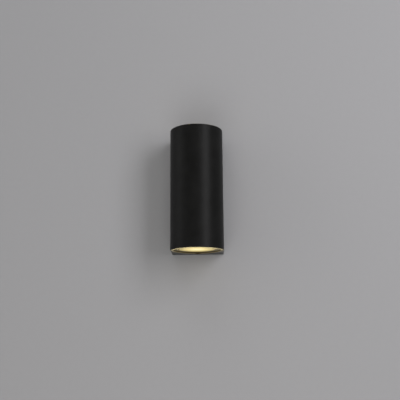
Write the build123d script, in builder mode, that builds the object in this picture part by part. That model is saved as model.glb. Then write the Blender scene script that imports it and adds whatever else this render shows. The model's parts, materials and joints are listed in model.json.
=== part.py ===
from build123d import *
from math import cos, radians, sin, sqrt
import os

os.makedirs("parts", exist_ok=True)

# All sizes are in millimetres. X runs across the wall, Y into it and Z up, and the wall face is Y = 0.

# Lamp, a twist-and-lock reflector lamp with two headed pins
lamp_diameter = 50.0
lamp_length = 46.6
lamp_rim_height = 4.5
lamp_wall = 1.8
lamp_lens_diameter = 44.4
lamp_lens_thickness = 2.5
lamp_lens_play = 0.1
lamp_base_diameter = 26.0
lamp_base_flats = 17.0
lamp_base_height = 13.6
lamp_bulge = 2.2
pin_spacing = 10.0
pin_diameter = 3.0
pin_head_diameter = 5.0
pin_head_height = 2.5
pin_length = 7.0
twist_angle = 35.0
led_board_thickness = 1.6
led_board_depth = 6.4
led_size = 3.0
led_height = 0.8
led_count = 6
led_circle_share = 0.6

# Lampholder, a ceramic block
holder_height = 12.0
holder_width = 18.0
holder_floor = 2.0
holder_plate = 3.0
holder_corner = 4.0
holder_edge = 0.6
slot_play = 0.35
head_play = 0.45
base_gap = 0.2
contact_sheet = 0.5
contact_width = 3.6
contact_touch = 0.1
contact_foot = 0.4

# Bridge, the folded sheet that carries both lampholders
bridge_gap = 12.0
bridge_sheet = 1.2
bridge_bend = 0.8
bridge_margin = 1.6
bridge_edge_gap = 1.0
holder_to_web = 5.0

# Small screws, all of one thread
screw_diameter = 3.0
screw_head_diameter = 5.2
screw_head_height = 2.0
screw_bite = 6.0
screw_hole_play = 0.15
recess_width = 1.0
recess_share = 0.5

# Light ends
lamp_to_lens = 1.0
seal_thickness = 1.2
seat_width = 3.0
seat_height = 3.0
lamp_way = 0.75
lens_flange = 3.0
lens_edge = 0.4
lens_play = 0.3
ring_thickness = 3.6
ring_play = 0.3
ring_edge = 0.5
ring_overlap = 5.8
spanner_hole_diameter = 3.2
spanner_hole_depth = 2.0
end_recess = 1.4

# Casting
rim_width = 3.75
casting_wall = 3.0
end_plate = 3.5
collar_wall = 2.3
rear_space = 9.95
edge_round = 0.7
mouth_edge = 0.4
boss_diameter = 8.0

# Wall side
foam_thickness = 1.5
bracket_sheet = 2.0
bracket_bend = 1.0
bracket_side_gap = 0.6
bracket_corner = 3.0
tab_width = 24.0
tab_gap = 0.7
wall_slot_spacing = 90.0
wall_slot_width = 4.5
wall_slot_length = 10.0
cable_height = -22.0
cable_bore = 8.0
cable_hole = 14.0
dish_diameter = 26.0
dish_depth = 2.0
dish_angle = 45.0
grommet_lip = 2.0
grommet_face_gap = 0.3
grommet_round = 0.6

# Fixing screws, a headless screw at the top and the bottom
grub_diameter = 5.0
grub_thread_play = 0.05
grub_sunk = 1.0
grub_socket = 2.5
grub_socket_depth = 2.5
grub_mouth = 0.6
grub_touch = 0.05
grub_boss_wall = 2.2
boss_to_tab = 0.3

# Terminal block
pole_pitch = 14.0
pole_width = 9.0
terminal_height = 17.0
terminal_depth = 12.0
terminal_base = 3.5
terminal_ear = 7.0
terminal_round = 1.0
tube_diameter = 4.6
tube_wall = 0.8
tube_play = 0.1
tube_end_inset = 2.0
tube_height = 5.4
clamp_screw_diameter = 2.6
clamp_screw_play = 0.15
clamp_screw_sunk = 1.4
clamp_screw_offset = 3.4
clamp_screw_past = 0.3

# Earth point
earth_height = 22.0
earth_washer_diameter = 7.0
earth_washer_thickness = 0.8
earth_tip_gap = 0.2

# Leads
lead_diameter = 2.0
lead_hole_play = 0.3
lead_bend = 3.5
lead_arch = 10.6
lead_to_web = 0.5
lead_end_gap = 0.15

# Heights above the middle, from the bridge out to the end face
bridge_top = bridge_gap / 2 + bridge_sheet
holder_face = bridge_top + holder_height
lamp_bottom = holder_face + base_gap
lamp_face = lamp_bottom + lamp_length
lens_bottom = lamp_face + lamp_to_lens
seat_top = lens_bottom - seal_thickness
seat_bottom = seat_top - seat_height
ring_bottom = lens_bottom + lens_flange
ring_face = ring_bottom + ring_thickness
half_height = ring_face + end_recess
body_height = 2 * half_height
chamber_half = half_height - end_plate

# Radii about the lamp axis, and the depth of that axis
seat_radius = lamp_diameter / 2 + lamp_way
mouth_radius = seat_radius + seat_width
body_radius = mouth_radius + rim_width
collar_radius = mouth_radius + collar_wall
chamber_radius = body_radius - casting_wall
ring_radius = mouth_radius - ring_play
lens_flange_radius = mouth_radius - 2 * ring_play
aperture_radius = ring_radius - ring_overlap
lens_radius = aperture_radius - lens_play
axis_y = -(collar_radius + rear_space)
back_y = -foam_thickness
lamp_axis = Axis((0, axis_y, 0), (0, 0, 1))

# Lampholder layout
pin_offset = pin_spacing / 2
head_radius = pin_head_diameter / 2
cavity_radius = head_radius + head_play
cavity_bottom = bridge_top + holder_floor
cavity_top = holder_face - holder_plate
head_bottom = lamp_bottom - pin_length
lead_x = pole_pitch / 2
lead_hole_radius = lead_diameter / 2 + lead_hole_play
lead_height = cavity_bottom + lead_hole_radius
screw_hole_radius = screw_diameter / 2 + screw_hole_play
holder_screw_x = lead_x + lead_hole_radius + holder_edge + screw_head_diameter / 2
holder_length = 2 * (holder_screw_x + screw_head_diameter / 2 + holder_edge)
contact_half = cavity_radius + contact_foot

# Bridge layout
holder_back_y = axis_y + holder_width / 2
web_front_y = holder_back_y + holder_to_web
web_back_y = web_front_y + bridge_sheet
flange_front_y = axis_y - holder_width / 2 - bridge_margin
flange_half = holder_length / 2 + bridge_margin
web_half = chamber_radius - bridge_edge_gap
bridge_screw_x = web_half - screw_head_diameter / 2 - bridge_edge_gap

# Terminal layout
tube_y = web_back_y + tube_height
tube_half = terminal_height / 2 - tube_end_inset
terminal_back_y = web_back_y + terminal_depth
terminal_half = pole_pitch / 2 + pole_width / 2
ear_x = terminal_half + terminal_ear / 2

# Wall bracket layout
bracket_half_width = chamber_radius - bracket_side_gap
grub_bottom = chamber_half - rear_space / 2
tab_top = grub_bottom - grub_touch
tab_reach = rear_space - tab_gap
grub_radius = grub_diameter / 2
grub_y = back_y - grub_radius - grub_boss_wall
boss_bottom = tab_top + boss_to_tab
plate_front_y = -bracket_sheet
dish_front_y = plate_front_y - dish_depth


def keep(name, made):
    made.part.label = name
    export_step(made.part, f"parts/{name}.step")


def u_outline(radius, rear):
    with BuildLine() as outline:
        ThreePointArc((-radius, axis_y), (0, axis_y - radius), (radius, axis_y))
        Polyline((radius, axis_y), (radius, rear), (-radius, rear), (-radius, axis_y))
    make_face(outline.edges())


# Housing: a die-cast shell, round in front, straight to the wall, open at the back
with BuildPart() as housing:
    with BuildSketch(Plane.XY.offset(-half_height)):
        u_outline(body_radius, back_y)
    extrude(amount=body_height)
    rims = [e for e in housing.edges() if abs(abs(e.center().Z) - half_height) < edge_round]
    fillet([e for e in rims if e.center().Y < back_y - edge_round], radius=edge_round)
    with BuildSketch(Plane.XY.offset(-chamber_half)):
        u_outline(chamber_radius, 0)
    extrude(amount=2 * chamber_half, mode=Mode.SUBTRACT)
    for up in (1, -1):
        # Collar round the mouth, and the boss of the fixing screw, which runs into the collar
        with BuildSketch(Plane.XY.offset(up * seat_bottom)):
            with Locations((0, axis_y)):
                Circle(collar_radius)
        extrude(amount=up * (chamber_half - seat_bottom + mouth_edge))
        with BuildSketch(Plane.XY.offset(up * boss_bottom)):
            with Locations((0, grub_y)):
                Circle(grub_radius + grub_boss_wall)
        extrude(amount=up * (chamber_half - boss_bottom + mouth_edge))
        # Lamp way, seat and mouth
        with BuildSketch(Plane.XY.offset(up * (seat_bottom - seat_height))):
            with Locations((0, axis_y)):
                Circle(seat_radius)
        extrude(amount=up * half_height, mode=Mode.SUBTRACT)
        with BuildSketch(Plane.XY.offset(up * seat_top)):
            with Locations((0, axis_y)):
                Circle(mouth_radius)
        extrude(amount=up * half_height, mode=Mode.SUBTRACT)
        with BuildSketch(Plane.XY.offset(up * (boss_bottom - boss_to_tab))):
            with Locations((0, grub_y)):
                Circle(grub_radius + grub_thread_play)
        extrude(amount=up * half_height, mode=Mode.SUBTRACT)
    mouths = housing.edges().filter_by(GeomType.CIRCLE)
    mouths = [e for e in mouths if abs(abs(e.center().Z) - half_height) < mouth_edge]
    chamfer([e for e in mouths if abs(e.radius - mouth_radius) < mouth_edge], length=mouth_edge)
    mouths = housing.edges().filter_by(GeomType.CIRCLE)
    mouths = [e for e in mouths if abs(abs(e.center().Z) - half_height) < mouth_edge]
    chamfer([e for e in mouths if abs(e.radius - grub_radius) < mouth_edge], length=grub_mouth)
    # Bosses for the bridge, run into the side walls, tapped from the back
    for side in (1, -1):
        with BuildSketch(Plane.XZ.offset(-web_front_y)):
            with Locations((side * bridge_screw_x, 0)):
                Circle(boss_diameter / 2)
            with Locations((side * (bridge_screw_x + chamber_radius + casting_wall / 2) / 2, 0)):
                Rectangle(chamber_radius + casting_wall / 2 - bridge_screw_x, boss_diameter)
        extrude(until=Until.NEXT)
        with BuildSketch(Plane.XZ.offset(-web_front_y)):
            with Locations((side * bridge_screw_x, 0)):
                Circle(screw_diameter / 2)
        extrude(amount=screw_bite + screw_diameter, mode=Mode.SUBTRACT)
keep("housing", housing)

# Foam seal between the housing and the wall
with BuildPart() as wall_seal:
    with BuildSketch(Plane.XZ):
        Rectangle(2 * body_radius, body_height)
        Rectangle(2 * chamber_radius, 2 * chamber_half, mode=Mode.SUBTRACT)
    extrude(amount=foam_thickness)
keep("wall_seal", wall_seal)

# Wall bracket: sheet steel with a tab folded forward at each end and a dished cable hole
with BuildPart() as wall_bracket:
    with BuildSketch(Plane.XZ):
        RectangleRounded(2 * bracket_half_width, 2 * (tab_top - bracket_bend), bracket_corner)
        Rectangle(tab_width, 2 * tab_top)
    extrude(amount=bracket_sheet)
    for up in (1, -1):
        with BuildSketch(Plane.XZ.offset(bracket_sheet)):
            with Locations((0, up * (tab_top - bracket_sheet / 2))):
                Rectangle(tab_width, bracket_sheet)
        extrude(amount=tab_reach - bracket_sheet)
    folds = wall_bracket.edges().filter_by(Axis.X)
    near = bracket_sheet / 4
    inner = [e for e in folds if abs(abs(e.center().Z) - tab_top + bracket_sheet) < near]
    outer = [e for e in folds if abs(abs(e.center().Z) - tab_top) < near]
    fillet([e for e in inner if abs(e.center().Y - plate_front_y) < near], radius=bracket_bend)
    fillet([e for e in outer if abs(e.center().Y) < near], radius=bracket_bend + bracket_sheet / 2)
    # Pressed dish round the cable hole, so that the grommet stays behind the wall face
    with BuildSketch(Plane.XZ.offset(bracket_sheet)):
        with Locations((0, cable_height)):
            Circle(dish_diameter / 2 + bracket_sheet)
    extrude(amount=dish_depth, taper=dish_angle)
    with BuildSketch(Plane.XZ):
        with Locations((0, cable_height)):
            Circle(dish_diameter / 2)
    extrude(amount=dish_depth, taper=dish_angle, mode=Mode.SUBTRACT)
    with BuildSketch(Plane.XZ):
        with Locations((0, cable_height)):
            Circle(cable_hole / 2)
        with Locations((0, wall_slot_spacing / 2), (0, -wall_slot_spacing / 2)):
            SlotOverall(wall_slot_length, wall_slot_width, rotation=90)
        with Locations((0, earth_height)):
            Circle(screw_diameter / 2)
    extrude(amount=rear_space, mode=Mode.SUBTRACT)
keep("wall_bracket", wall_bracket)

# Cable grommet, gripping the edge of the hole with a groove
cable_axis = Axis((0, 0, cable_height), (0, 1, 0))
with BuildPart() as cable_grommet:
    with BuildSketch(Plane.XY.offset(cable_height)):
        lip_radius = cable_hole / 2 + grommet_lip
        lip_front_y = dish_front_y - grommet_lip
        with BuildLine():
            Polyline(
                (cable_bore / 2, -grommet_face_gap),
                (lip_radius, -grommet_face_gap),
                (lip_radius, -dish_depth),
                (cable_hole / 2, -dish_depth),
                (cable_hole / 2, dish_front_y),
                (lip_radius, dish_front_y),
                (lip_radius - grommet_lip / 2, lip_front_y),
                (cable_bore / 2, lip_front_y),
                close=True,
            )
        make_face()
    revolve(axis=cable_axis)
    lips = cable_grommet.edges().filter_by(GeomType.CIRCLE)
    fillet([e for e in lips if abs(e.center().Y - lip_front_y) < grommet_round / 2], radius=grommet_round)
keep("cable_grommet", cable_grommet)

# Fixing screws: headless, with a six-sided socket, the tip bearing on the bracket's tab
with BuildPart() as fixing_screws:
    for up in (1, -1):
        with BuildSketch(Plane.XY.offset(up * grub_bottom)):
            with Locations((0, grub_y)):
                Circle(grub_radius)
        extrude(amount=up * (half_height - grub_sunk - grub_bottom))
        with BuildSketch(Plane.XY.offset(up * (half_height - grub_sunk))):
            with Locations((0, grub_y)):
                RegularPolygon(grub_socket / sqrt(3), 6)
        extrude(amount=-up * grub_socket_depth, mode=Mode.SUBTRACT)
    ends = fixing_screws.edges().filter_by(GeomType.CIRCLE)
    chamfer(ends, length=grub_mouth / 2)
keep("fixing_screws", fixing_screws)

# Bridge: a channel of folded sheet with two ears on its web
with BuildPart() as holder_bridge:
    with BuildSketch(Plane.YZ.offset(-flange_half)):
        with Locations(((flange_front_y + web_back_y) / 2, 0)):
            Rectangle(web_back_y - flange_front_y, 2 * bridge_top)
        with Locations(((flange_front_y + web_front_y) / 2, 0)):
            Rectangle(web_front_y - flange_front_y, bridge_gap, mode=Mode.SUBTRACT)
    extrude(amount=2 * flange_half)
    folds = holder_bridge.edges().filter_by(Axis.X)
    outer = [e for e in folds if abs(e.center().Y - web_back_y) < bridge_sheet / 4]
    inner = [e for e in folds if abs(e.center().Y - web_front_y) < bridge_sheet / 4]
    fillet(inner, radius=bridge_bend)
    fillet(outer, radius=bridge_bend + bridge_sheet / 2)
    with BuildSketch(Plane.XZ.offset(-web_back_y)):
        RectangleRounded(2 * web_half, boss_diameter, bridge_bend)
    extrude(amount=bridge_sheet)
    with BuildSketch(Plane.XZ.offset(-web_back_y)):
        with Locations((bridge_screw_x, 0), (-bridge_screw_x, 0)):
            Circle(screw_hole_radius)
        with Locations((ear_x, 0), (-ear_x, 0)):
            Circle(screw_diameter / 2)
    extrude(amount=bridge_sheet, mode=Mode.SUBTRACT)
    with BuildSketch(Plane.XY.offset(-bridge_top)):
        with Locations((holder_screw_x, axis_y), (-holder_screw_x, axis_y)):
            Circle(screw_diameter / 2)
    extrude(amount=2 * bridge_top, mode=Mode.SUBTRACT)
keep("holder_bridge", holder_bridge)


def screw(head_plane, points, shank):
    # Heads stand on the plane, shanks run below it, and each head has a cross recess
    with BuildSketch(head_plane) as heads:
        with Locations(*points):
            Circle(screw_head_diameter / 2)
    extrude(heads.sketch, amount=screw_head_height)
    with BuildSketch(head_plane) as shanks:
        with Locations(*points):
            Circle(screw_diameter / 2)
    extrude(shanks.sketch, amount=-shank)
    with BuildSketch(head_plane.offset(screw_head_height)) as recesses:
        with Locations(*points):
            Rectangle(screw_head_diameter * recess_share, recess_width)
            Rectangle(recess_width, screw_head_diameter * recess_share)
    extrude(recesses.sketch, amount=-screw_head_height * recess_share, mode=Mode.SUBTRACT)


def facing_wall(y):
    return Plane(origin=(0, y, 0), x_dir=(1, 0, 0), z_dir=(0, 1, 0))


# Screws that hold the bridge to the housing
with BuildPart() as bridge_screws:
    screw(facing_wall(web_back_y), [(bridge_screw_x, 0), (-bridge_screw_x, 0)], bridge_sheet + screw_bite)
keep("bridge_screws", bridge_screws)

# Terminal block: two poles on a base with an ear at each side
with BuildPart() as terminal_block:
    with BuildSketch(facing_wall(web_back_y)):
        RectangleRounded(2 * (terminal_half + terminal_ear), boss_diameter, terminal_round)
        Rectangle(2 * terminal_half, terminal_height)
    extrude(amount=terminal_base)
    with BuildSketch(facing_wall(web_back_y)):
        with Locations((lead_x, 0), (-lead_x, 0)):
            RectangleRounded(pole_width, terminal_height, terminal_round)
    extrude(amount=terminal_depth)
    with BuildSketch(Plane.XY.offset(-terminal_height / 2)):
        with Locations((lead_x, tube_y), (-lead_x, tube_y)):
            Circle(tube_diameter / 2 + tube_play)
    extrude(amount=terminal_height, mode=Mode.SUBTRACT)
    with BuildSketch(facing_wall(tube_y)):
        with GridLocations(2 * lead_x, 2 * clamp_screw_offset, 2, 2):
            Circle(clamp_screw_diameter / 2 + clamp_screw_play)
    extrude(amount=terminal_depth, mode=Mode.SUBTRACT)
    with BuildSketch(facing_wall(web_back_y)):
        with Locations((ear_x, 0), (-ear_x, 0)):
            Circle(screw_hole_radius)
    extrude(amount=terminal_base, mode=Mode.SUBTRACT)
keep("terminal_block", terminal_block)

# Brass tubes of the terminal block, pierced for the clamping screws
with BuildPart() as terminal_tubes:
    with BuildSketch(Plane.XY.offset(-tube_half)):
        with Locations((lead_x, tube_y), (-lead_x, tube_y)):
            Circle(tube_diameter / 2)
            Circle(tube_diameter / 2 - tube_wall, mode=Mode.SUBTRACT)
    extrude(amount=2 * tube_half)
    with BuildSketch(facing_wall(tube_y)):
        with GridLocations(2 * lead_x, 2 * clamp_screw_offset, 2, 2):
            Circle(clamp_screw_diameter / 2 + clamp_screw_play / 2)
    extrude(amount=terminal_depth, mode=Mode.SUBTRACT)
keep("terminal_tubes", terminal_tubes)

# Clamping screws of the terminal block
with BuildPart() as terminal_screws:
    clamp_tip = tube_y + clamp_screw_past
    clamp_top = terminal_back_y - clamp_screw_sunk
    with BuildSketch(facing_wall(clamp_tip)):
        with GridLocations(2 * lead_x, 2 * clamp_screw_offset, 2, 2):
            Circle(clamp_screw_diameter / 2)
    extrude(amount=clamp_top - clamp_tip)
    with BuildSketch(facing_wall(clamp_top)):
        with GridLocations(2 * lead_x, 2 * clamp_screw_offset, 2, 2):
            Rectangle(2 * clamp_screw_diameter, recess_width * recess_share)
    extrude(amount=-clamp_screw_sunk * recess_share, mode=Mode.SUBTRACT)
keep("terminal_screws", terminal_screws)

# Screws that hold the terminal block to the bridge
with BuildPart() as terminal_fixings:
    ear_top = facing_wall(web_back_y + terminal_base)
    screw(ear_top, [(ear_x, 0), (-ear_x, 0)], terminal_base + 2 * bridge_sheet)
keep("terminal_fixings", terminal_fixings)

# Earth point on the wall bracket: a washer under a screw
with BuildPart() as earth_washer:
    with BuildSketch(Plane.XZ.offset(bracket_sheet)):
        with Locations((0, earth_height)):
            Circle(earth_washer_diameter / 2)
            Circle(screw_hole_radius, mode=Mode.SUBTRACT)
    extrude(amount=earth_washer_thickness)
keep("earth_washer", earth_washer)

with BuildPart() as earth_screw:
    earth_grip = earth_washer_thickness + bracket_sheet
    screw(Plane.XZ.offset(earth_grip), [(0, earth_height)], earth_grip - earth_tip_gap)
keep("earth_screw", earth_screw)

# Everything below is made twice, once for each end
for end_name, up in (("upper", 1), ("lower", -1)):
    base = Plane(origin=(0, axis_y, 0), x_dir=(1, 0, 0), z_dir=(0, 0, up))
    section = Plane(origin=(0, axis_y, 0), x_dir=(1, 0, 0), z_dir=(0, -up, 0))
    outward = Axis((0, axis_y, 0), (0, 0, up))

    # Retaining ring, screwed into the mouth with a two-pin spanner
    with BuildPart() as ring:
        with BuildSketch(base.offset(ring_bottom)):
            Circle(ring_radius)
            Circle(aperture_radius, mode=Mode.SUBTRACT)
        extrude(amount=ring_thickness)
        rims = ring.faces().sort_by(outward)[-1].edges()
        chamfer(rims, length=ring_edge)
        with BuildSketch(base.offset(ring_face)):
            with PolarLocations((aperture_radius + ring_radius) / 2, 2):
                Circle(spanner_hole_diameter / 2)
        extrude(amount=-spanner_hole_depth, mode=Mode.SUBTRACT)
    keep(end_name + "_ring", ring)

    # Stepped lens: its flange lies under the ring and its boss fills the ring's opening
    with BuildPart() as lens:
        with BuildSketch(base.offset(lens_bottom)):
            Circle(lens_flange_radius)
        extrude(amount=lens_flange)
        with BuildSketch(base.offset(ring_bottom)):
            Circle(lens_radius)
        extrude(amount=ring_thickness)
        chamfer(lens.faces().sort_by(outward)[-1].edges(), length=lens_edge)
    keep(end_name + "_lens", lens)

    # Silicone seal between the lens and its seat
    with BuildPart() as lens_seal:
        with BuildSketch(base.offset(seat_top)):
            Circle(lens_flange_radius)
            Circle(seat_radius, mode=Mode.SUBTRACT)
        extrude(amount=seal_thickness)
    keep(end_name + "_lens_seal", lens_seal)

    # Lamp shell, a hollow cup that narrows towards the base
    rim_bottom = lamp_face - lamp_rim_height
    neck = lamp_bottom + lamp_base_height
    lens_pocket = lamp_lens_diameter / 2 + lamp_lens_play
    board_radius = lens_pocket - lamp_wall
    board_shelf = lamp_face - led_board_depth
    shelf_radius = board_radius - lamp_wall
    shell_rim = lamp_diameter / 2
    neck_radius = lamp_base_diameter / 2
    inner_neck = neck_radius - lamp_wall
    neck_floor = neck + lamp_wall
    with BuildPart() as lamp_shell:
        with BuildSketch(section):
            with BuildLine():
                Line((shell_rim, lamp_face), (shell_rim, rim_bottom))
                SagittaArc((shell_rim, rim_bottom), (neck_radius, neck), lamp_bulge)
                Polyline((neck_radius, neck), (0, neck), (0, neck_floor), (inner_neck, neck_floor))
                SagittaArc((inner_neck, neck_floor), (shelf_radius, board_shelf), -lamp_bulge)
                Polyline(
                    (shelf_radius, board_shelf),
                    (board_radius, board_shelf),
                    (board_radius, lamp_face - lamp_lens_thickness),
                    (lens_pocket, lamp_face - lamp_lens_thickness),
                    (lens_pocket, lamp_face),
                    (shell_rim, lamp_face),
                )
            make_face()
        revolve(axis=lamp_axis)
    keep(end_name + "_lamp_shell", lamp_shell)

    # Lit front of the lamp
    with BuildPart() as lamp_front:
        with BuildSketch(base.offset(lamp_face - lamp_lens_thickness)):
            Circle(lamp_lens_diameter / 2)
        extrude(amount=lamp_lens_thickness)
    keep(end_name + "_lamp_front", lamp_front)

    # Board with its light-emitting diodes, on the shelf inside the shell
    with BuildPart() as led_board:
        with BuildSketch(base.offset(board_shelf)):
            Circle(board_radius - lamp_lens_play)
        extrude(amount=led_board_thickness)
    keep(end_name + "_led_board", led_board)

    with BuildPart() as leds:
        with BuildSketch(base.offset(board_shelf + led_board_thickness)):
            Rectangle(led_size, led_size)
            with PolarLocations(board_radius * led_circle_share, led_count):
                Rectangle(led_size, led_size)
        extrude(amount=led_height)
    keep(end_name + "_leds", leds)

    # Lamp base with two flats
    with BuildPart() as lamp_base:
        with BuildSketch(base.offset(lamp_bottom)):
            Circle(neck_radius)
            Rectangle(lamp_base_diameter, lamp_base_flats, mode=Mode.INTERSECT)
        extrude(amount=lamp_base_height)
    keep(end_name + "_lamp_base", lamp_base)

    # Headed contact pins of the lamp
    with BuildPart() as lamp_pins:
        with BuildSketch(base.offset(head_bottom)):
            with PolarLocations(pin_offset, 2):
                Circle(head_radius)
        extrude(amount=pin_head_height)
        with BuildSketch(base.offset(head_bottom)):
            with PolarLocations(pin_offset, 2):
                Circle(pin_diameter / 2)
        extrude(amount=pin_length)
    keep(end_name + "_lamp_pins", lamp_pins)

    # Lampholder: the pins drop through the round holes and turn into the curved slots
    with BuildPart() as lampholder:
        with BuildSketch(base.offset(bridge_top)):
            RectangleRounded(holder_length, holder_width, holder_corner)
        extrude(amount=holder_height)
        chamfer(lampholder.faces().sort_by(outward)[-1].edges(), length=holder_edge)
        for half_turn in (0, 180):
            with BuildSketch(base.offset(cavity_bottom)):
                with BuildLine(mode=Mode.PRIVATE):
                    swept = CenterArc((0, 0), pin_offset, half_turn - twist_angle, 2 * twist_angle)
                SlotArc(swept, 2 * cavity_radius)
            extrude(amount=cavity_top - cavity_bottom, mode=Mode.SUBTRACT)
            with BuildSketch(base.offset(cavity_top)):
                with BuildLine(mode=Mode.PRIVATE):
                    turned = CenterArc((0, 0), pin_offset, half_turn, twist_angle)
                SlotArc(turned, pin_diameter + 2 * slot_play)
                entry = radians(half_turn + twist_angle)
                with Locations((pin_offset * cos(entry), pin_offset * sin(entry))):
                    Circle(head_radius + slot_play)
            extrude(amount=holder_plate, mode=Mode.SUBTRACT)
        with BuildSketch(Plane.XZ.offset(-holder_back_y)):
            with Locations((lead_x, up * lead_height), (-lead_x, up * lead_height)):
                Circle(lead_hole_radius)
        extrude(amount=holder_width, mode=Mode.SUBTRACT)
        with BuildSketch(base.offset(bridge_top)):
            with Locations((holder_screw_x, 0), (-holder_screw_x, 0)):
                Circle(screw_hole_radius)
        extrude(amount=holder_height, mode=Mode.SUBTRACT)
        with BuildSketch(base.offset(holder_face)):
            with Locations((holder_screw_x, 0), (-holder_screw_x, 0)):
                Circle(screw_head_diameter / 2 + screw_hole_play)
        extrude(amount=-holder_plate, mode=Mode.SUBTRACT)
    keep(end_name + "_lampholder", lampholder)

    # Screws that hold the lampholder to the bridge
    with BuildPart() as holder_screws:
        grip = holder_height - holder_plate + 2 * bridge_sheet
        screw(base.offset(holder_face - holder_plate), [(holder_screw_x, 0), (-holder_screw_x, 0)], grip)
    keep(end_name + "_holder_screws", holder_screws)

    # Spring contacts under the pin heads
    with BuildPart() as contacts:
        for side in (1, -1):
            inner_x = side * (pin_offset - contact_width / 2)
            leaf_top = head_bottom - contact_touch
            leaf = Plane(origin=(inner_x, axis_y, 0), x_dir=(0, side * up, 0), z_dir=(side, 0, 0))
            with BuildSketch(leaf):
                with BuildLine():
                    Polyline(
                        (-contact_half, cavity_bottom),
                        (contact_half, cavity_bottom),
                        (contact_half, leaf_top),
                        (-contact_half + 2 * contact_sheet, leaf_top),
                        (-contact_half + 2 * contact_sheet, leaf_top - contact_sheet),
                        (contact_half - contact_sheet, leaf_top - contact_sheet),
                        (contact_half - contact_sheet, cavity_bottom + contact_sheet),
                        (-contact_half, cavity_bottom + contact_sheet),
                        close=True,
                    )
                make_face()
            extrude(amount=contact_width)
    keep(end_name + "_contacts", contacts)

    # Two leads from the lampholder over the bridge to the terminal block
    for lead_name, lead_side in (("live", -1), ("neutral", 1)):
        x = lead_side * lead_x
        rise_y = web_front_y - lead_to_web - lead_diameter / 2
        start = (x, axis_y + contact_half + lead_end_gap, up * lead_height)
        foot = (x, rise_y, up * lead_height)
        arch_in = (x, rise_y, up * (lead_height + lead_arch))
        arch_out = (x, tube_y, up * (lead_height + lead_arch))
        end = (x, tube_y, up * (tube_half + lead_end_gap))
        with BuildPart() as lead:
            with BuildLine() as route:
                FilletPolyline(start, foot, arch_in, arch_out, end, radius=lead_bend)
            with BuildSketch(Plane(origin=start, z_dir=(0, 1, 0))):
                Circle(lead_diameter / 2)
            sweep(path=route.line)
        keep(f"{end_name}_{lead_name}_lead", lead)
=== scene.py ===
import json
from math import cos, pi, radians, sin

import bmesh
import bpy
from mathutils import Matrix, Vector


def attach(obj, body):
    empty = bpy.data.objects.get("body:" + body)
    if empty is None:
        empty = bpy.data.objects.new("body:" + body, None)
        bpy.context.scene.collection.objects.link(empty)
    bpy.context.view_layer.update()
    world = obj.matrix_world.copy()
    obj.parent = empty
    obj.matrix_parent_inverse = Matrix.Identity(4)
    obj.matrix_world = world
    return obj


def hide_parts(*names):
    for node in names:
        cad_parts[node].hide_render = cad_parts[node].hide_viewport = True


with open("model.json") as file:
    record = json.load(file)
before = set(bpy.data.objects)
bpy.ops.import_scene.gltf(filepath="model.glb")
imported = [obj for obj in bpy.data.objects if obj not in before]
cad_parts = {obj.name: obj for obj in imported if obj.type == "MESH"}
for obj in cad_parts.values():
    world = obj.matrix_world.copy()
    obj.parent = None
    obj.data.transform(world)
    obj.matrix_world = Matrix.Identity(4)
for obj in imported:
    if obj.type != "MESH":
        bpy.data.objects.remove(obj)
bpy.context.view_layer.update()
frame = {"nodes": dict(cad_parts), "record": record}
nodes = frame["nodes"]
print("frame loaded,", len(nodes), "nodes")

mm = 0.001
lampAxisY = -41.0 * mm
ends = {"upper": 1, "lower": -1}
contrast = (0.35, 0.65)  # noise levels at which a finish has its deep and its pale colour
unlit = (0.0, 0.0, 0.0)


# Camera
cameraView = {
    "place": (0.02342, -0.8180, -0.17635),
    "tiltUp": 11.8935,
    "yaw": -1.4366,
    "roll": 0.4921,
    "focal": 58.302,
    "sensor": 36.0,
}


def placeCamera(view):
    yaw, tilt, roll = (radians(view[key]) for key in ("yaw", "tiltUp", "roll"))
    level = Vector((sin(yaw), cos(yaw), 0))
    side = Vector((cos(yaw), -sin(yaw), 0))
    upright = Vector((0, 0, 1))
    ahead = cos(tilt) * level + sin(tilt) * upright
    above = cos(tilt) * upright - sin(tilt) * level
    right = cos(roll) * side - sin(roll) * above
    top = sin(roll) * side + cos(roll) * above
    lens = bpy.data.cameras.new("photoCamera")
    lens.sensor_width = view["sensor"]
    lens.lens = view["focal"]
    camera = bpy.data.objects.new("photoCamera", lens)
    turn = Matrix((right, top, -ahead)).transposed().to_4x4()
    camera.matrix_world = Matrix.Translation(view["place"]) @ turn
    bpy.context.scene.collection.objects.link(camera)
    bpy.context.scene.camera = camera


placeCamera(cameraView)
print("camera placed")


# Shader sums: a Wire is an output socket, and an expression on wires adds Math nodes
class Wire:
    def __init__(self, paint, socket):
        self.paint = paint
        self.socket = socket

    def maths(self, operation, first, second):
        return self.paint.node("Math", {"operation": operation}, {0: first, 1: second})

    def __add__(self, other):
        return self.maths("ADD", self, other)

    def __radd__(self, other):
        return self.maths("ADD", other, self)

    def __sub__(self, other):
        return self.maths("SUBTRACT", self, other)

    def __rsub__(self, other):
        return self.maths("SUBTRACT", other, self)

    def __mul__(self, other):
        return self.maths("MULTIPLY", self, other)

    def __rmul__(self, other):
        return self.maths("MULTIPLY", other, self)

    def __truediv__(self, other):
        return self.maths("DIVIDE", self, other)

    def __rtruediv__(self, other):
        return self.maths("DIVIDE", other, self)

    def __pow__(self, other):
        return self.maths("POWER", self, other)

    def __rpow__(self, other):
        return self.maths("POWER", other, self)

    def __abs__(self):
        return self.maths("ABSOLUTE", self, 0.0)


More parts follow.
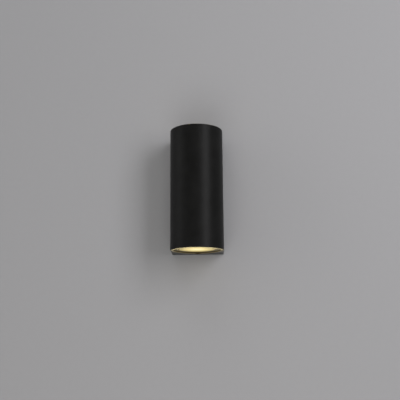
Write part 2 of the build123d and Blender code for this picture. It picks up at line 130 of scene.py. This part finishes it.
# A Paint is one material under way
class Paint:
    def __init__(self, name):
        self.made = bpy.data.materials.new(name)
        self.made.use_nodes = True
        self.tree = self.made.node_tree
        self.shader = self.tree.nodes["Principled BSDF"]

    def node(self, kind, settings=None, values=None, out=0):
        made = self.tree.nodes.new("ShaderNode" + kind)
        for key, value in (settings or {}).items():
            if key == "stops":
                self.setStops(made.color_ramp, value)
            else:
                setattr(made, key, value)
        for key, value in (values or {}).items():
            self.join(made.inputs[key], value)
        return Wire(self, made.outputs[out])

    def setStops(self, ramp, stops):
        while len(ramp.elements) < len(stops):
            ramp.elements.new(0.5)
        for element, (place, colour) in zip(ramp.elements, stops):
            element.position = place
            element.color = (*colour, 1.0)

    def join(self, socket, value):
        if isinstance(value, Wire):
            self.tree.links.new(value.socket, socket)
        elif socket.type == "RGBA":
            socket.default_value = (*value, 1.0)
        else:
            socket.default_value = value

    def finish(self, values):
        for key, value in values.items():
            self.join(self.shader.inputs[key], value)
        return self.made

    def place(self):
        return self.node("TexCoord", out="Object")

    def split(self, vector):
        parts = self.node("SeparateXYZ", values={"Vector": vector})
        return [Wire(self, socket) for socket in parts.socket.node.outputs]

    def stretch(self, vector, scale):
        return self.node("VectorMath", {"operation": "MULTIPLY"}, {0: vector, 1: scale})

    def noise(self, vector, grain, detail=2.0, rough=0.5):
        sizes = {"Vector": vector, "Scale": 1 / grain, "Detail": detail, "Roughness": rough}
        return self.node("TexNoise", values=sizes)

    def cells(self, vector, grain):
        return self.node("TexVoronoi", values={"Vector": vector, "Scale": 1 / grain}, out="Distance")

    def rise(self, value, low, high):
        limits = {"Value": value, "From Min": low, "From Max": high}
        return self.node("MapRange", {"interpolation_type": "SMOOTHSTEP"}, limits)

    # up over the first two limits, down again over the last two
    def band(self, value, limits):
        return self.rise(value, *limits[:2]) * (1 - self.rise(value, *limits[2:]))

    # one tooth, 0 to 0.5 and back, for each whole number
    def zigzag(self, value):
        return self.node("Math", {"operation": "PINGPONG"}, {0: value, 1: 0.5})

    def tint(self, mask, first, second):
        return self.node("Mix", {"data_type": "RGBA"}, {0: mask, 6: first, 7: second}, out=2)

    def mottle(self, noise, look):
        return self.tint(self.rise(noise, *contrast), look["deep"], look["pale"])

    # strays both ways from the middle as the noise does
    def stray(self, noise, middle, width):
        return (noise - 0.5) * width + middle

    def bump(self, height, depth, strength=1.0):
        return self.node("Bump", values={"Height": height, "Distance": depth, "Strength": strength})

    def fromAxis(self, x, y, axisY=lampAxisY):
        across = y - axisY
        return (x * x + across * across) ** 0.5

    def aroundAxis(self, x, y):
        return self.node("Math", {"operation": "ARCTAN2"}, {0: y - lampAxisY, 1: x})

    # faint light of the lens on what stands round it
    def spill(self, height, reach, look):
        lit = self.rise(height, *look["spillSpan"]) * (1 - self.rise(reach, *look["spillReach"]))
        return self.tint(lit, unlit, look["spill"])


finishes = {}


# Black powder coat of the housing; the three relief heights are in millimetres
coat = {
    "deep": (0.0046, 0.0046, 0.0044),
    "pale": (0.0080, 0.0080, 0.0078),
    "worn": (0.012, 0.012, 0.0115),
    "shine": 0.09,
    "roughness": 0.41,
    "roughSpread": 0.20,
    "faceRoughness": 0.26,
    "grain": 0.55 * mm,
    "peel": 2.6 * mm,
    "cloud": 14.0 * mm,
    "grainHeight": 0.085,
    "peelHeight": 0.09,
    "threadHeight": 1.2,
    "thinEdge": (74.25 * mm, 74.9 * mm),
    "wornPatch": 3.0 * mm,
    "wornLevels": (0.35, 0.7),
    "wornShare": 0.6,
    "turnedFace": (74.5 * mm, 74.95 * mm),
    "threadPitch": 2.0 * mm,
    "threadTurns": 50.0,  # whole turns added, so that the count stays above zero
    "threadWall": (28.3 * mm, 28.5 * mm, 28.9 * mm, 29.0 * mm),
    "threadSpan": (65.9 * mm, 66.3 * mm, 73.9 * mm, 74.4 * mm),
    "spill": (0.046, 0.030, 0.005),
    "spillReach": (28.8 * mm, 29.6 * mm),
    "spillSpan": (73.3 * mm, 73.9 * mm),
    "lip": (0.150, 0.126, 0.080),
    "lipReach": (29.1 * mm, 29.3 * mm),
    "lipSpan": (74.45 * mm, 74.62 * mm),
    "screwY": -6.2 * mm,
    "screwShade": (6.2 * mm, 7.6 * mm),
}


def makePowderCoat(look):
    paint = Paint("blackPowderCoat")
    place = paint.place()
    x, y, z = paint.split(place)
    height = abs(z)
    reach = paint.fromAxis(x, y)
    grain = paint.noise(place, look["grain"], detail=3.0)
    peel = paint.noise(place, look["peel"], detail=1.0)
    cloud = paint.noise(place, look["cloud"], detail=3.0)
    # the coat is thin on the two end edges
    worn = paint.rise(paint.noise(place, look["wornPatch"], detail=4.0), *look["wornLevels"])
    worn = worn * paint.rise(height, *look["thinEdge"])
    colour = paint.tint(worn * look["wornShare"], paint.mottle((cloud + grain) / 2, look), look["worn"])
    # cut thread on the wall of each mouth
    turns = z / look["threadPitch"] - paint.aroundAxis(x, y) / (2 * pi) + look["threadTurns"]
    thread = paint.zigzag(turns) * paint.band(reach, look["threadWall"])
    thread = thread * paint.band(height, look["threadSpan"])
    relief = grain * look["grainHeight"] + peel * look["peelHeight"] + thread * look["threadHeight"]
    # the turned end faces are smoother than the cast wall
    turned = paint.rise(height, *look["turnedFace"])
    rough = look["roughness"] - turned * (look["roughness"] - look["faceRoughness"])
    # the bevelled lip of each mouth catches more of the lens's light, but not beside the fixing screw
    lip = paint.rise(height, *look["lipSpan"]) * (1 - paint.rise(reach, *look["lipReach"]))
    lip = lip * paint.rise(paint.fromAxis(x, y, look["screwY"]), *look["screwShade"])
    return paint.finish({
        "Base Color": colour,
        "Roughness": paint.stray(grain, rough, look["roughSpread"]),
        "Specular IOR Level": look["shine"],
        "Emission Color": paint.tint(lip, paint.spill(height, reach, look), look["lip"]),
        "Emission Strength": 1.0,
        "Normal": paint.bump(relief, 1.0 * mm),
    })


finishes["black_powder_coat"] = makePowderCoat(coat)


# Black anodised retaining rings, turned on a lathe
ringLook = {
    "deep": (0.013, 0.012, 0.011),
    "pale": (0.034, 0.031, 0.028),
    "metal": 0.55,
    "roughness": 0.32,
    "roughSpread": 0.16,
    "shine": 0.2,
    "cloud": 6.0 * mm,
    "lineWidth": 0.16 * mm,
    "lineSlant": 0.5,
    "lineDepth": 0.006 * mm,
    "lineStrength": 0.7,
    "spill": (0.028, 0.019, 0.006),
    "spillReach": (22.5 * mm, 27.5 * mm),
    "spillSpan": (72.6 * mm, 73.2 * mm),
}


def makeAnodised(look):
    paint = Paint("blackAnodised")
    place = paint.place()
    x, y, z = paint.split(place)
    reach = paint.fromAxis(x, y)
    turned = paint.node("CombineXYZ", values={"X": reach, "Y": z * look["lineSlant"]})
    lines = paint.noise(turned, look["lineWidth"], detail=3.0, rough=0.6)
    cloud = paint.noise(place, look["cloud"], detail=3.0)
    return paint.finish({
        "Base Color": paint.mottle((lines + cloud) / 2, look),
        "Metallic": look["metal"],
        "Roughness": paint.stray(lines, look["roughness"], look["roughSpread"]),
        "Specular IOR Level": look["shine"],
        "Emission Color": paint.spill(abs(z), reach, look),
        "Emission Strength": 1.0,
        "Normal": paint.bump(lines, look["lineDepth"], look["lineStrength"]),
    })


finishes["black_anodised"] = makeAnodised(ringLook)


# Lit lens: satin glass, brightest in its middle and a little brighter in front of each diode
lensLook = {
    "core": (0.88, 0.78, 0.41),
    "field": (0.73, 0.59, 0.23),
    "rim": (0.21, 0.158, 0.053),
    "wall": (0.20, 0.14, 0.045),
    "reach": 22.9 * mm,
    "coreEnd": 0.18,
    "fieldEnd": 0.48,
    "face": (73.0 * mm, 73.5 * mm),
    "edge": (20.6 * mm, 22.3 * mm),
    "edgeShare": 0.25,
    "diodes": 6,
    "diodeCircle": 12.5 * mm,
    "diodeSpread": 7.0 * mm,
    "diodeShare": 0.035,
    "glow": 1.0,
    "glass": (0.06, 0.055, 0.04),
    "glassPale": (0.072, 0.066, 0.048),
    "pebble": 0.9 * mm,
    "pebbleShare": 0.10,
    "pebbleDepth": 0.02 * mm,
    "pebbleStrength": 0.5,
    "roughness": 0.22,
    "roughSpread": 0.12,
    "shine": 0.2,
}


def makeLensGlow(look):
    paint = Paint("litLens")
    place = paint.place()
    x, y, z = paint.split(place)
    reach = paint.fromAxis(x, y)
    pebble = paint.noise(place, look["pebble"], detail=2.0)
    diodes = paint.node("Math", {"operation": "COSINE"}, {0: paint.aroundAxis(x, y) * look["diodes"]})
    diodes = diodes * (1 - paint.rise(abs(reach - look["diodeCircle"]), 0.0, look["diodeSpread"]))
    share = reach / look["reach"] + (pebble - 0.5) * look["pebbleShare"] - diodes * look["diodeShare"]
    share = share + paint.rise(reach, *look["edge"]) * look["edgeShare"]
    glow = paint.node("ValToRGB", {"stops": [
        (0.0, look["core"]),
        (look["coreEnd"], look["core"]),
        (look["fieldEnd"], look["field"]),
        (1.0, look["rim"]),
    ]}, {"Fac": share})
    return paint.finish({
        "Base Color": paint.tint(pebble, look["glass"], look["glassPale"]),
        "Roughness": paint.stray(pebble, look["roughness"], look["roughSpread"]),
        "Specular IOR Level": look["shine"],
        "Emission Color": paint.tint(paint.rise(abs(z), *look["face"]), look["wall"], glow),
        "Emission Strength": look["glow"],
        "Normal": paint.bump(pebble, look["pebbleDepth"], look["pebbleStrength"]),
    })


finishes["lit_lens"] = makeLensGlow(lensLook)


# Front of each lamp, a lit diffuser of small lenslets
frontLook = {
    "bright": (1.0, 0.90, 0.55),
    "dim": (0.80, 0.62, 0.28),
    "body": (0.35, 0.32, 0.24),
    "bodyDeep": (0.28, 0.256, 0.192),
    "lenslet": 3.2 * mm,
    "lensletLevels": (0.1, 0.6),
    "lensletDepth": 0.4 * mm,
    "lensletStrength": 0.6,
    "grain": 1.5 * mm,
    "roughness": 0.275,
    "roughSpread": 0.15,
    "glow": 0.9,
}


def makeLampFront(look):
    paint = Paint("lampFront")
    place = paint.place()
    lenslet = paint.cells(place, look["lenslet"])
    shade = paint.rise(lenslet, *look["lensletLevels"])
    return paint.finish({
        "Base Color": paint.tint(shade, look["body"], look["bodyDeep"]),
        "Roughness": paint.stray(paint.noise(place, look["grain"]), look["roughness"], look["roughSpread"]),
        "Emission Color": paint.tint(shade, look["bright"], look["dim"]),
        "Emission Strength": look["glow"],
        "Normal": paint.bump(1 - lenslet, look["lensletDepth"], look["lensletStrength"]),
    })


finishes["lamp_front"] = makeLampFront(frontLook)


# Diode chips: yellow phosphor on a pale foot
chipLook = {
    "phosphor": (0.95, 0.66, 0.12),
    "casing": (0.85, 0.83, 0.74),
    "foot": (62.6 * mm, 62.0 * mm),
    "footShare": 0.4,
    "speck": 0.25 * mm,
    "speckLevels": (0.3, 0.8),
    "speckDepth": 0.02 * mm,
    "speckStrength": 0.4,
    "roughness": 0.35,
    "roughSpread": 0.2,
    "glow": 1.0,
}


def makeLedChip(look):
    paint = Paint("ledChip")
    place = paint.place()
    height = abs(paint.split(place)[2])
    speck = paint.noise(place, look["speck"], detail=3.0)
    pale = speck + paint.rise(height, *look["foot"]) * look["footShare"]
    return paint.finish({
        "Base Color": paint.tint(paint.rise(pale, *look["speckLevels"]), look["phosphor"], look["casing"]),
        "Roughness": paint.stray(speck, look["roughness"], look["roughSpread"]),
        "Emission Color": paint.tint(speck, look["phosphor"], look["casing"]),
        "Emission Strength": look["glow"],
        "Normal": paint.bump(speck, look["speckDepth"], look["speckStrength"]),
    })


finishes["led_chip"] = makeLedChip(chipLook)


# Diode board: white solder mask over copper rings
boardLook = {
    "mask": (0.80, 0.80, 0.77),
    "track": (0.66, 0.67, 0.60),
    "trackGap": 2.4 * mm,
    "trackEdge": (0.18, 0.24),
    "trackShare": 0.8,
    "dust": 1.2 * mm,
    "dustShare": 0.2,
    "dustHeight": 0.15,
    "relief": 0.05 * mm,
    "reliefStrength": 0.6,
    "roughness": 0.45,
    "roughSpread": 0.2,
}


def makeLedBoard(look):
    paint = Paint("ledBoard")
    place = paint.place()
    x, y = paint.split(place)[:2]
    track = paint.rise(paint.zigzag(paint.fromAxis(x, y) / look["trackGap"]), *look["trackEdge"])
    dust = paint.noise(place, look["dust"], detail=4.0)
    pale = track * look["trackShare"] + dust * look["dustShare"]
    return paint.finish({
        "Base Color": paint.tint(pale, look["track"], look["mask"]),
        "Roughness": paint.stray(dust, look["roughness"], look["roughSpread"]),
        "Normal": paint.bump(dust * look["dustHeight"] - track, look["relief"], look["reliefStrength"]),
    })


finishes["led_board"] = makeLedBoard(boardLook)


# Bare and plated metals, each with a drawn or turned grain
metals = {
    "zinc_plated_steel": {
        "deep": (0.50, 0.52, 0.54), "pale": (0.68, 0.69, 0.69), "roughness": 0.33,
        "grain": (0.25 * mm, 0.25 * mm, 6.0 * mm), "cloud": 9.0 * mm, "metal": 1.0,
    },
    "screw_steel": {
        "deep": (0.46, 0.46, 0.45), "pale": (0.66, 0.66, 0.65), "roughness": 0.30,
        "grain": (0.2 * mm, 0.2 * mm, 0.2 * mm), "cloud": 1.5 * mm, "metal": 1.0,
    },
    "black_screw": {
        "deep": (0.010, 0.010, 0.010), "pale": (0.030, 0.029, 0.028), "roughness": 0.42,
        "grain": (0.25 * mm, 0.25 * mm, 0.25 * mm), "cloud": 1.2 * mm, "metal": 0.5,
    },
    "brass": {
        "deep": (0.56, 0.37, 0.12), "pale": (0.80, 0.60, 0.26), "roughness": 0.28,
        "grain": (0.2 * mm, 0.2 * mm, 1.5 * mm), "cloud": 2.5 * mm, "metal": 1.0,
    },
    "pin_metal": {
        "deep": (0.56, 0.55, 0.52), "pale": (0.74, 0.73, 0.70), "roughness": 0.26,
        "grain": (0.15 * mm, 0.15 * mm, 0.15 * mm), "cloud": 1.6 * mm, "metal": 1.0,
    },
}
metalGrain = {
    "cloudShare": 0.7,
    "grainShare": 0.3,
    "cloudRough": 0.10,
    "grainRough": 0.14,
    "depth": 0.008 * mm,
    "strength": 0.6,
}


def makeMetal(name, look):
    paint = Paint(name)
    place = paint.place()
    drawn = paint.stretch(place, tuple(1 / size for size in look["grain"]))
    grain = paint.noise(drawn, 1.0, detail=3.0, rough=0.6)
    cloud = paint.noise(place, look["cloud"], detail=4.0, rough=0.6)
    pale = cloud * metalGrain["cloudShare"] + grain * metalGrain["grainShare"]
    rough = paint.stray(cloud, look["roughness"], metalGrain["cloudRough"])
    return paint.finish({
        "Base Color": paint.mottle(pale, look),
        "Metallic": look["metal"],
        "Roughness": paint.stray(grain, rough, metalGrain["grainRough"]),
        "Normal": paint.bump(grain, metalGrain["depth"], metalGrain["strength"]),
    })


for slotName, look in metals.items():
    finishes[slotName] = makeMetal(slotName, look)


# Moulded, fired and drawn insulators
moulded = {
    "black_rubber": {
        "deep": (0.010, 0.010, 0.010), "pale": (0.020, 0.020, 0.020), "roughness": 0.62,
        "grain": 0.35 * mm, "depth": 0.03 * mm, "shine": 0.35,
    },
    "clear_silicone": {
        "deep": (0.60, 0.60, 0.57), "pale": (0.74, 0.74, 0.71), "roughness": 0.38,
        "grain": 0.8 * mm, "depth": 0.015 * mm, "shine": 0.5,
    },
    "lamp_white": {
        "deep": (0.72, 0.72, 0.69), "pale": (0.80, 0.80, 0.78), "roughness": 0.36,
        "grain": 0.5 * mm, "depth": 0.02 * mm, "shine": 0.5,
    },
    "steatite": {
        "deep": (0.66, 0.62, 0.54), "pale": (0.80, 0.77, 0.70), "roughness": 0.55,
        "grain": 0.45 * mm, "depth": 0.04 * mm, "shine": 0.4,
    },
    "terminal_plastic": {
        "deep": (0.72, 0.70, 0.64), "pale": (0.80, 0.79, 0.75), "roughness": 0.45,
        "grain": 0.6 * mm, "depth": 0.02 * mm, "shine": 0.45,
    },
    "brown_lead": {
        "deep": (0.070, 0.028, 0.012), "pale": (0.105, 0.045, 0.020), "roughness": 0.40,
        "grain": 0.5 * mm, "depth": 0.012 * mm, "shine": 0.5,
    },
    "blue_lead": {
        "deep": (0.020, 0.065, 0.22), "pale": (0.034, 0.10, 0.30), "roughness": 0.40,
        "grain": 0.5 * mm, "depth": 0.012 * mm, "shine": 0.5,
    },
}
mouldedGrain = {"cloudSize": 12, "cloudShare": 0.6, "grainShare": 0.4, "grainRough": 0.16, "strength": 0.5}


def makeMoulded(name, look):
    paint = Paint(name)
    place = paint.place()
    grain = paint.noise(place, look["grain"], detail=3.0, rough=0.55)
    cloud = paint.noise(place, mouldedGrain["cloudSize"] * look["grain"], detail=3.0)
    pale = cloud * mouldedGrain["cloudShare"] + grain * mouldedGrain["grainShare"]
    return paint.finish({
        "Base Color": paint.mottle(pale, look),
        "Roughness": paint.stray(grain, look["roughness"], mouldedGrain["grainRough"]),
        "Specular IOR Level": look["shine"],
        "Normal": paint.bump(grain, look["depth"], mouldedGrain["strength"]),
    })


for slotName, look in moulded.items():
    finishes[slotName] = makeMoulded(slotName, look)


# Closed-cell foam of the wall seal
foamLook = {
    "deep": (0.006, 0.006, 0.006),
    "pale": (0.022, 0.022, 0.022),
    "levels": (0.2, 0.8),
    "cell": 0.55 * mm,
    "fine": 0.2 * mm,
    "fineShare": 0.2,
    "fineHeight": 0.3,
    "pit": 0.12 * mm,
    "pitStrength": 0.7,
    "roughness": 0.91,
    "roughSpread": 0.1,
    "shine": 0.2,
}


def makeFoam(look):
    paint = Paint("blackFoam")
    place = paint.place()
    cell = paint.cells(place, look["cell"])
    fine = paint.noise(place, look["fine"], detail=3.0)
    pale = paint.rise(cell + fine * look["fineShare"], *look["levels"])
    return paint.finish({
        "Base Color": paint.tint(pale, look["deep"], look["pale"]),
        "Roughness": paint.stray(fine, look["roughness"], look["roughSpread"]),
        "Specular IOR Level": look["shine"],
        "Normal": paint.bump(cell + fine * look["fineHeight"], look["pit"], look["pitStrength"]),
    })


finishes["black_foam"] = makeFoam(foamLook)

for part in frame["record"]["subparts"]:
    cadNode = nodes[part["node"]]
    cadNode.data.materials.clear()
    cadNode.data.materials.append(finishes[part["material_slot"]])


def newPiece(name, mesh, slotName, body):
    piece = bpy.data.objects.new(name, mesh)
    bpy.context.scene.collection.objects.link(piece)
    mesh.materials.append(finishes[slotName])
    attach(piece, body)
    return piece


def softEdges(mesh, angle):
    mesh.shade_smooth()
    mesh.set_sharp_from_angle(angle=radians(angle))


def meshFrom(shape, name):
    mesh = bpy.data.meshes.new(name)
    shape.to_mesh(mesh)
    shape.free()
    return mesh


# Closed skin through loops of equal length; the last loop joins the first
def skinLoops(loops, name):
    shape = bmesh.new()
    rows = [[shape.verts.new(point) for point in loop] for loop in loops]
    count = len(rows[0])
    for row, following in zip(rows, rows[1:] + rows[:1]):
        for i in range(count):
            j = (i + 1) % count
            shape.faces.new((row[i], row[j], following[j], following[i]))
    bmesh.ops.recalc_face_normals(shape, faces=shape.faces)
    return meshFrom(shape, name)


# Retaining rings with a real thread and two spanner holes
ring = {
    "bottom": 70.0 * mm,
    "face": 73.6 * mm,
    "outer": 28.45 * mm,
    "inner": 22.65 * mm,
    "edge": 0.5 * mm,
    "pitch": 2.0 * mm,
    "threadDepth": 0.75 * mm,
    "crest": 0.14,
    "around": 180,
    "threadRows": 34,
    "holeSpan": 25.55 * mm,
    "holeWidth": 3.2 * mm,
    "holeDepth": 2.0 * mm,
    "holeSides": 40,
    "sharpAngle": 28,
}


def ringPoint(up, radius, angle, height):
    return (radius * cos(angle), lampAxisY + up * radius * sin(angle), up * height)


# The thread runs out before the ring's face and bottom
def threadRadius(angle, height):
    turn = height / ring["pitch"] - angle / (2 * pi)
    wave = abs(2 * (turn % 1.0) - 1)
    cut = min(max((wave - ring["crest"]) / (1 - 2 * ring["crest"]), 0), 1)
    fromEnd = min(height - ring["bottom"], ring["face"] - ring["edge"] - height)
    fade = min(max(fromEnd / ring["edge"], 0), 1)
    return ring["outer"] - ring["threadDepth"] * cut * fade


def buildRing(up):
    angles = [2 * pi * i / ring["around"] for i in range(ring["around"])]
    top = ring["face"] - ring["edge"]
    profile = [
        (ring["inner"], ring["bottom"]),
        (ring["inner"], top),
        (ring["inner"] + ring["edge"], ring["face"]),
        (ring["outer"] - ring["edge"], ring["face"]),
    ]
    loops = [[ringPoint(up, radius, angle, height) for angle in angles] for radius, height in profile]
    for step in range(ring["threadRows"] + 1):
        height = top + (ring["bottom"] - top) * step / ring["threadRows"]
        loops.append([ringPoint(up, threadRadius(angle, height), angle, height) for angle in angles])
    return skinLoops(loops, "ringBlank")


def buildDrills(up):
    shape = bmesh.new()
    for side in (1, -1):
        spot = Vector((side * ring["holeSpan"], lampAxisY, up * ring["face"]))
        bmesh.ops.create_cone(
            shape,
            cap_ends=True,
            segments=ring["holeSides"],
            radius1=ring["holeWidth"] / 2,
            radius2=ring["holeWidth"] / 2,
            depth=2 * ring["holeDepth"],
            matrix=Matrix.Translation(spot),
        )
    return meshFrom(shape, "drills")


def drillRing(name, up):
    meshes = [buildRing(up), buildDrills(up)]
    blank, drills = (bpy.data.objects.new(mesh.name, mesh) for mesh in meshes)
    for made in (drills, blank):
        bpy.context.scene.collection.objects.link(made)
    cut = blank.modifiers.new("holes", "BOOLEAN")
    cut.object = drills
    cut.operation = "DIFFERENCE"
    cut.solver = "EXACT"
    bpy.context.view_layer.update()
    drilled = bpy.data.meshes.new_from_object(blank.evaluated_get(bpy.context.evaluated_depsgraph_get()))
    for made in (drills, blank):
        bpy.data.objects.remove(made)
    for mesh in meshes:
        bpy.data.meshes.remove(mesh)
    drilled.name = name
    drilled.materials.clear()
    softEdges(drilled, ring["sharpAngle"])
    return drilled


for end, up in ends.items():
    ringMesh = drillRing(end + "_threaded_ring", up)
    ringPiece = newPiece(end + "_threaded_ring", ringMesh, "black_anodised", end + "_ring")
    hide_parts(end + "_ring")
    print(end, "ring:", len(ringMesh.polygons), "faces")


# Foam seal, its cut edges rounded by the squeeze between housing and wall
foam = {
    "outer": (32.5 * mm, 75.0 * mm),
    "inner": (29.5 * mm, 71.5 * mm),
    "thick": 1.5 * mm,
    "round": 0.45 * mm,
    "roundSteps": 6,
    "sideSteps": (26, 60),
    "waver": 0.08 * mm,
    "ripples": 9,
    "rippleShift": 2,
    "sharpAngle": 40,
}


def foamWaver(side, share):
    ripple = 0.5 + 0.5 * sin(foam["ripples"] * share * pi + foam["rippleShift"] * side)
    return foam["waver"] * ripple * sin(share * pi) ** 0.5


def frameLoop(halfX, halfZ, depth, inward):
    across, upright = foam["sideSteps"]
    corners = [(-1, -1), (1, -1), (1, 1), (-1, 1)]
    points = []
    for k, (sx, sz) in enumerate(corners):
        tx, tz = corners[(k + 1) % 4]
        steps = across if sz == tz else upright
        for i in range(steps):
            share = i / steps
            px = (sx + (tx - sx) * share) * (halfX - inward)
            pz = (sz + (tz - sz) * share) * (halfZ - inward)
            if sz == tz:
                pz -= sz * foamWaver(k, share)
            else:
                px -= sx * foamWaver(k, share)
            points.append((px, depth, pz))
    return points


# Rounded outside from back to front, then rounded inside from front to back
def buildFoam():
    half = foam["thick"] / 2
    loops = []
    for outline, way in ((foam["outer"], 1), (foam["inner"], -1)):
        for step in range(foam["roundSteps"] + 1):
            angle = pi * step / foam["roundSteps"]
            inward = way * foam["round"] * (1 - sin(angle))
            loops.append(frameLoop(*outline, -half - way * half * cos(angle), inward))
    mesh = skinLoops(loops, "foam_seal")
    softEdges(mesh, foam["sharpAngle"])
    return mesh


foamPiece = newPiece("foam_seal", buildFoam(), "black_foam", "body")
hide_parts("wall_seal")
print("foam seal made")


# Stage: a plain wall behind, a pale floor far below, soft lights
stageLook = {
    "wall": (0.315, 0.314, 0.323),
    "floor": (0.84, 0.84, 0.83),
    "grain": 6.0 * mm,
    "grainShade": 1.04,
    "roughness": 0.85,
    "roughSpread": 0.1,
    "shine": 0.2,
    "wallGap": 0.4 * mm,
    "wallHole": (28.5 * mm, 66.0 * mm),
    "wallHalf": 2.2,
    "floorDrop": 1.4,
    "sky": (0.30, 0.30, 0.30),
}


def makePlaster(name, colour, seeThroughBack):
    paint = Paint(name)
    grain = paint.noise(paint.place(), stageLook["grain"], detail=4.0)
    pale = tuple(stageLook["grainShade"] * part for part in colour)
    material = paint.finish({
        "Base Color": paint.tint(grain, colour, pale),
        "Roughness": paint.stray(grain, stageLook["roughness"], stageLook["roughSpread"]),
        "Specular IOR Level": stageLook["shine"],
    })
    if seeThroughBack:
        back = paint.node("NewGeometry", out="Backfacing")
        clear = paint.node("BsdfTransparent")
        mixed = paint.node("MixShader", values={0: back, 1: Wire(paint, paint.shader.outputs[0]), 2: clear})
        paint.join(paint.tree.nodes["Material Output"].inputs["Surface"], mixed)
    return material


def makeSheet(name, corners, faces, material):
    mesh = bpy.data.meshes.new(name)
    mesh.from_pydata(corners, [], faces)
    mesh.materials.append(material)
    plane = bpy.data.objects.new(name, mesh)
    bpy.context.scene.collection.objects.link(plane)
    return plane


half, drop, gap = stageLook["wallHalf"], stageLook["floorDrop"], stageLook["wallGap"]
holeX, holeZ = stageLook["wallHole"]
# the wall is open behind the part, so that views from behind show it lit
wall = makeSheet(
    "stage_wall",
    [(-half, gap, -drop), (half, gap, -drop), (half, gap, half), (-half, gap, half),
     (-holeX, gap, -holeZ), (holeX, gap, -holeZ), (holeX, gap, holeZ), (-holeX, gap, holeZ)],
    [(0, 1, 5, 4), (1, 2, 6, 5), (2, 3, 7, 6), (3, 0, 4, 7)],
    makePlaster("wallPlaster", stageLook["wall"], True),
)
wall.visible_diffuse = False
makeSheet(
    "stage_floor",
    [(-half, -half, -drop), (half, -half, -drop), (half, half, -drop), (-half, half, -drop)],
    [(0, 1, 2, 3)],
    makePlaster("floorPlaster", stageLook["floor"], False),
)

sky = bpy.data.worlds.new("studio")
sky.use_nodes = True
sky.node_tree.nodes["Background"].inputs["Color"].default_value = (*stageLook["sky"], 1.0)
bpy.context.scene.world = sky

lamps = {
    "sideStrip": {
        "place": (0.81, -0.98, 0.31), "size": (0.5, 1.1), "power": 10.6, "colour": (0.99, 0.98, 1.0),
    },
    "topSoft": {
        "place": (-0.25, -0.75, 1.25), "size": (1.0, 0.8), "power": 4.0, "colour": (1.0, 1.0, 0.99),
    },
    "leftSoft": {
        "place": (-1.15, -0.22, 0.25), "size": (0.9, 1.2), "power": 4.0, "colour": (1.0, 1.0, 1.0),
    },
    "lowSoft": {
        "place": (-0.10, -1.0, -0.75), "size": (0.9, 0.6), "power": 4.5, "colour": (1.0, 0.97, 0.91),
    },
    "backSoft": {
        "place": (0.35, 1.05, 0.40), "size": (1.8, 1.6), "power": 8.0, "colour": (1.0, 1.0, 1.0),
    },
}
# small warm lamps that fill in the two end faces, placed to the side and away from the middle
endFill = {
    "upper": {
        "place": (0.0, 0.140), "size": (0.064, 0.10), "power": 0.05,
        "colour": (1.0, 0.82, 0.40), "spread": 100,
    },
    "lower": {
        "place": (0.004, 0.140), "size": (0.088, 0.10), "power": 0.08,
        "colour": (1.0, 0.82, 0.40), "spread": 100,
    },
}


def hangLamp(name, lamp, place, toward):
    light = bpy.data.lights.new(name, "AREA")
    light.shape = "RECTANGLE"
    light.size, light.size_y = lamp["size"]
    light.energy = lamp["power"]
    light.color = lamp["colour"]
    holder = bpy.data.objects.new(name, light)
    holder.location = place
    holder.rotation_euler = toward.to_track_quat("-Z", "Y").to_euler()
    bpy.context.scene.collection.objects.link(holder)
    return holder


for name, lamp in lamps.items():
    hangLamp(name, lamp, lamp["place"], Vector((0, lampAxisY, 0)) - Vector(lamp["place"]))
for end, up in ends.items():
    lamp = endFill[end]
    aside, away = lamp["place"]
    holder = hangLamp(end + "Fill", lamp, (aside, -gap, up * away), Vector((0, -1, 0)))
    holder.visible_camera = False
    holder.data.spread = radians(lamp["spread"])
print("stage and lights set")

bpy.context.scene.view_settings.view_transform = "Standard"
